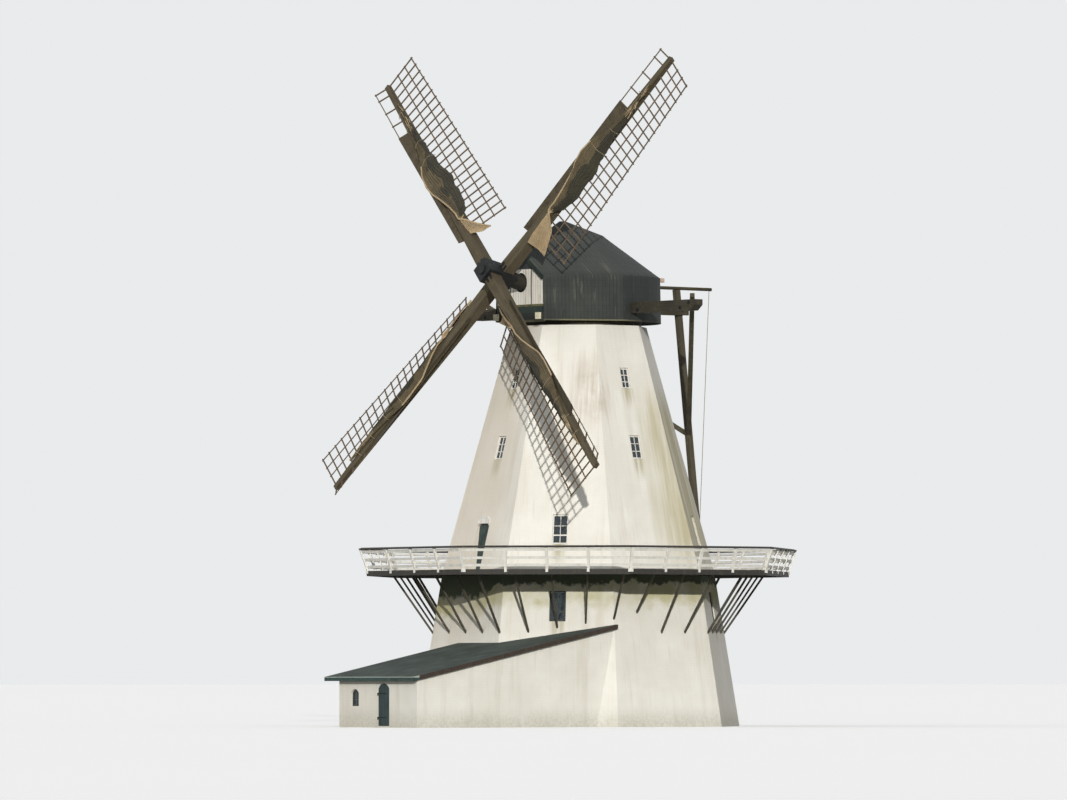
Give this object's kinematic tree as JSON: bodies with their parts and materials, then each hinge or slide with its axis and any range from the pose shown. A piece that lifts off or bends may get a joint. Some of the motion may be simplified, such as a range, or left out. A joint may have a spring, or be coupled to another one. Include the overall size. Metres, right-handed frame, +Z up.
{
  "type": "windmill",
  "caption": "Octagonal masonry windmill with a turning boarded cap, lattice sails, a railed gallery, a tail frame and a low lean-to with a hinged door.",
  "frame": {"origin": "on the ground at the middle of the tower", "axes": "+Z up; the sails face -Y and the tail frame points to +Y at rest"},
  "size_m": [17.8734, 20.254, 26.0502],
  "materials": {
    "masonry": "lime-washed plaster on brick",
    "floor_boards": "weathered boards",
    "timber": "weathered oak",
    "iron": "black paint",
    "shaft_timber": "tarred",
    "dark_timber": "tarred",
    "white_paint": "white paint",
    "glass": "clear",
    "door_paint": "dark paint",
    "cap_boards": "tarred boards",
    "gable_boards": "white paint",
    "verge_paint": "dark green paint",
    "roof_felt": "boards under mineral felt",
    "leading_boards": "weathered boards",
    "canvas": "canvas",
    "rope": "rope"
  },
  "bodies": {
    "tower": {"base_walls_square": "masonry", "base_walls_diagonal": "masonry", "upper_walls_square": "masonry", "upper_walls_diagonal": "masonry", "tower_floors": "floor_boards", "curb_ring": "timber", "window_frames": "white_paint", "window_panes": "glass", "gallery_doors": "door_paint", "gallery_deck": "floor_boards", "gallery_rim": "dark_timber", "gallery_joists": "dark_timber", "gallery_struts": "dark_timber", "gallery_corner_posts": "white_paint", "gallery_railing_square": "white_paint", "gallery_railing_diagonal": "white_paint", "gallery_handrails": "dark_timber", "annex_front_walls": "masonry", "annex_door_lintel": "masonry", "annex_side_walls": "masonry", "annex_floor": "masonry", "annex_roof": "roof_felt", "annex_roof_trim": "dark_timber", "annex_door_pintles": "iron"},
    "cap": {"cap_sheers": "timber", "weather_beam": "timber", "rear_tie_beam": "timber", "long_crossbeam": "timber", "cap_sill_beam": "gable_boards", "cap_apron": "cap_boards", "tail_beams": "timber", "neck_block": "timber", "tail_block": "timber", "cap_shell": "cap_boards", "cap_gable": "gable_boards", "gable_verge_boards": "verge_paint", "tail_pole": "timber", "tail_braces": "timber", "brake_lever": "timber", "brake_rope": "rope"},
    "sails": {"windshaft": "shaft_timber", "sail_hub": "iron", "inner_stock": "timber", "outer_stock": "timber", "inner_sail_lattices": "dark_timber", "outer_sail_lattices": "dark_timber", "leading_boards": "leading_boards", "leading_ladders": "dark_timber", "furled_cloths": "canvas"},
    "annex_door": {"annex_door": "door_paint", "annex_door_straps": "iron"}
  },
  "joints": [
    {"name": "cap_turn", "type": "hinge", "parent": "tower", "child": "cap", "pos_m": [0, 0, 15.55], "axis": [0, 0, 1], "continuous": true},
    {"name": "sail_turn", "type": "hinge", "parent": "cap", "child": "sails", "pos_m": [0, 0, 16.31], "axis": [0, -0.9751, 0.2215], "continuous": true},
    {"name": "annex_door_hinge", "type": "hinge", "parent": "tower", "child": "annex_door", "pos_m": [1.8275, -11.51932, 0.8], "axis": [0, 0, -1], "range_deg": [0, 100]}
  ]
}
